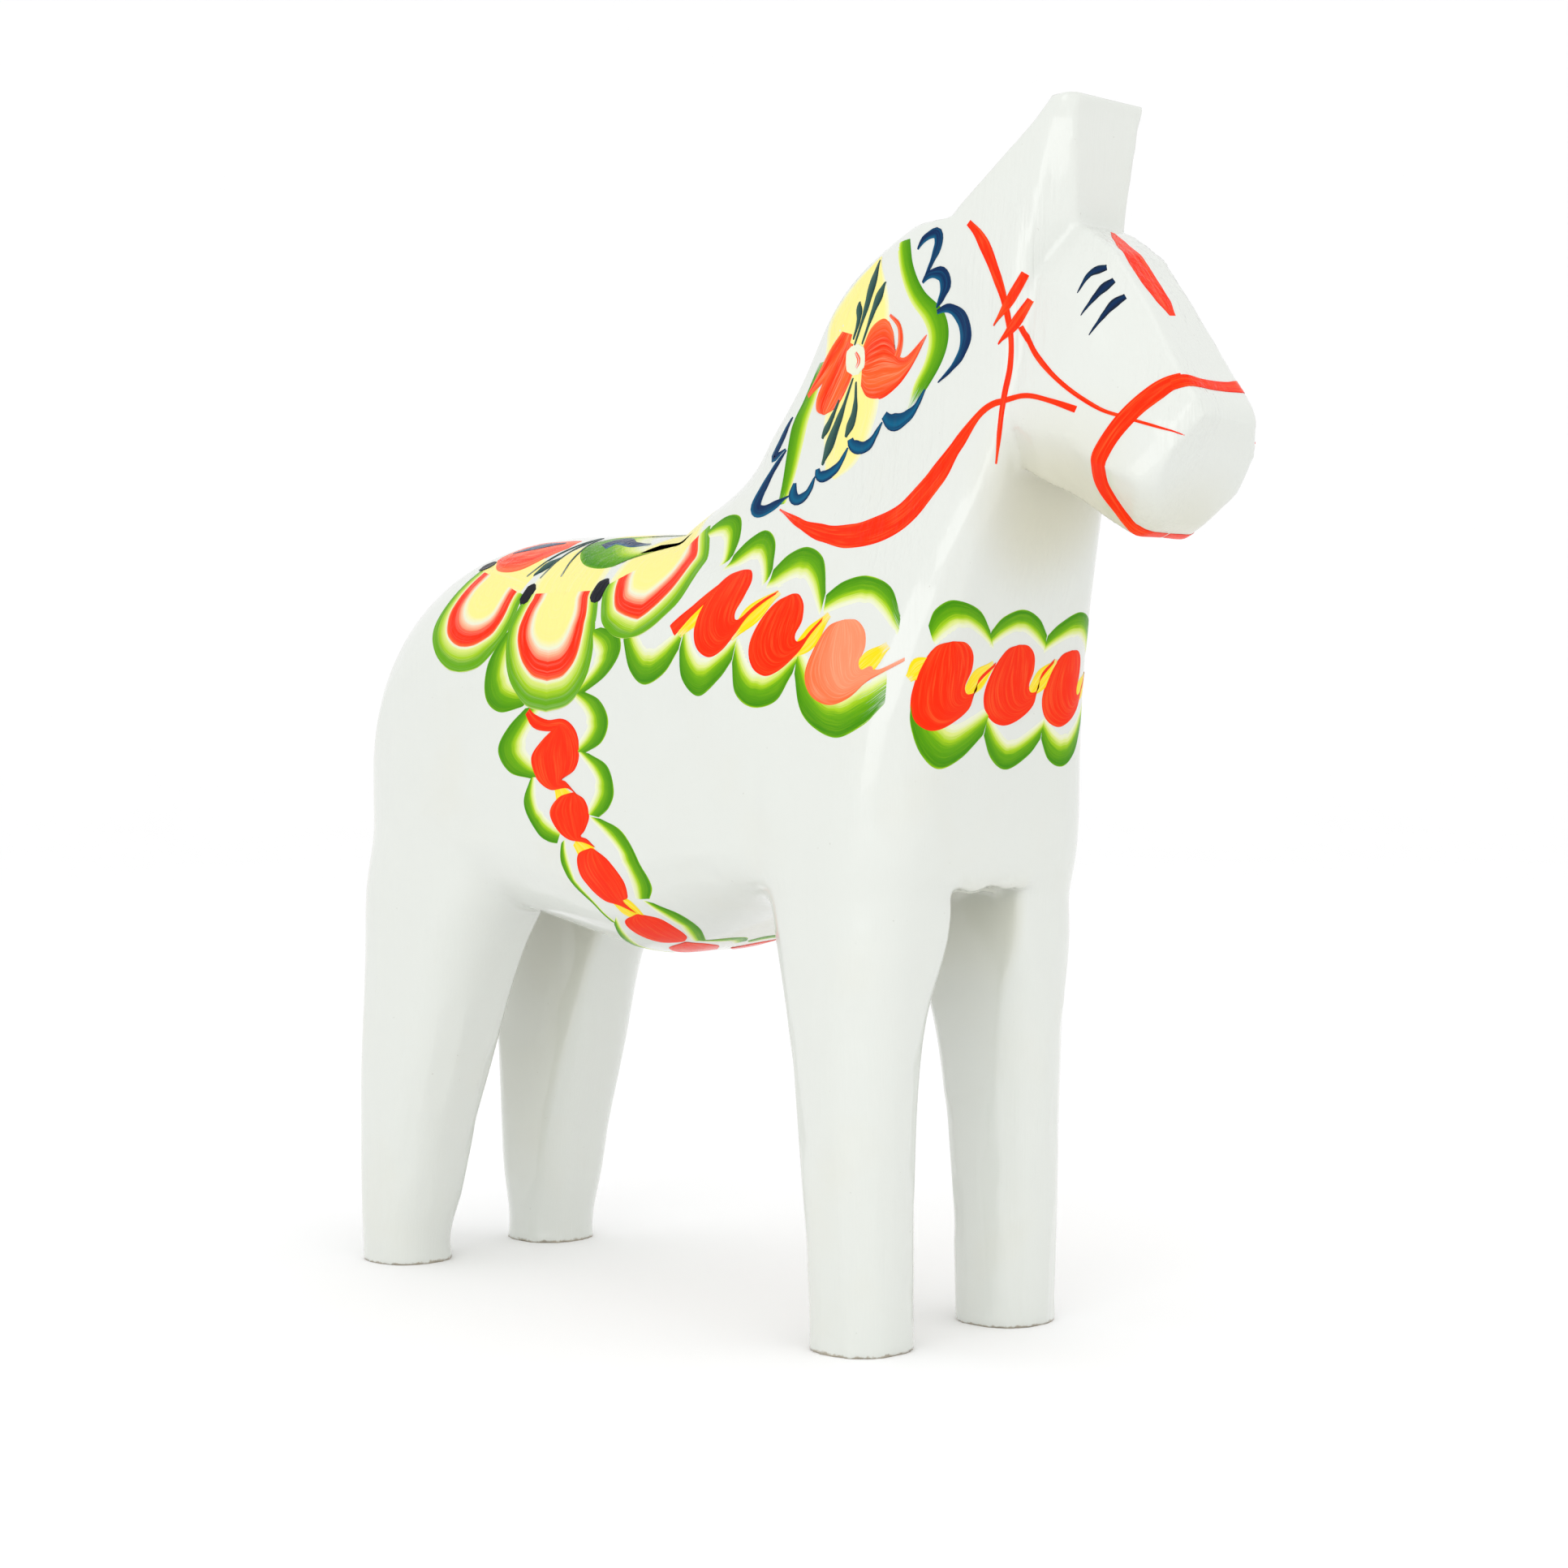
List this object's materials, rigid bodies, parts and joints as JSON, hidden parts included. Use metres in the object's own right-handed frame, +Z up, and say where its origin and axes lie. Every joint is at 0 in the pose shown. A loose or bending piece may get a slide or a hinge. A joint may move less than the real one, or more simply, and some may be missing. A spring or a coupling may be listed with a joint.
{
  "type": "dala horse",
  "caption": "Carved wooden dala horse on four straight legs, glossy white lacquer with painted floral harness, mane panel and saddle.",
  "frame": {"origin": "on the ground, under the middle of the horse's overall length and width", "axes": "+X towards the horse's head, +Y to the horse's left, +Z up"},
  "size_m": [0.2388, 0.0696, 0.251],
  "materials": {
    "white_lacquered_pine": "gloss white oil paint over carved pine, clear lacquer on top"
  },
  "bodies": {
    "root": {"right_side_plank": "white_lacquered_pine", "centre_plank": "white_lacquered_pine", "left_side_plank": "white_lacquered_pine"}
  },
  "joints": []
}
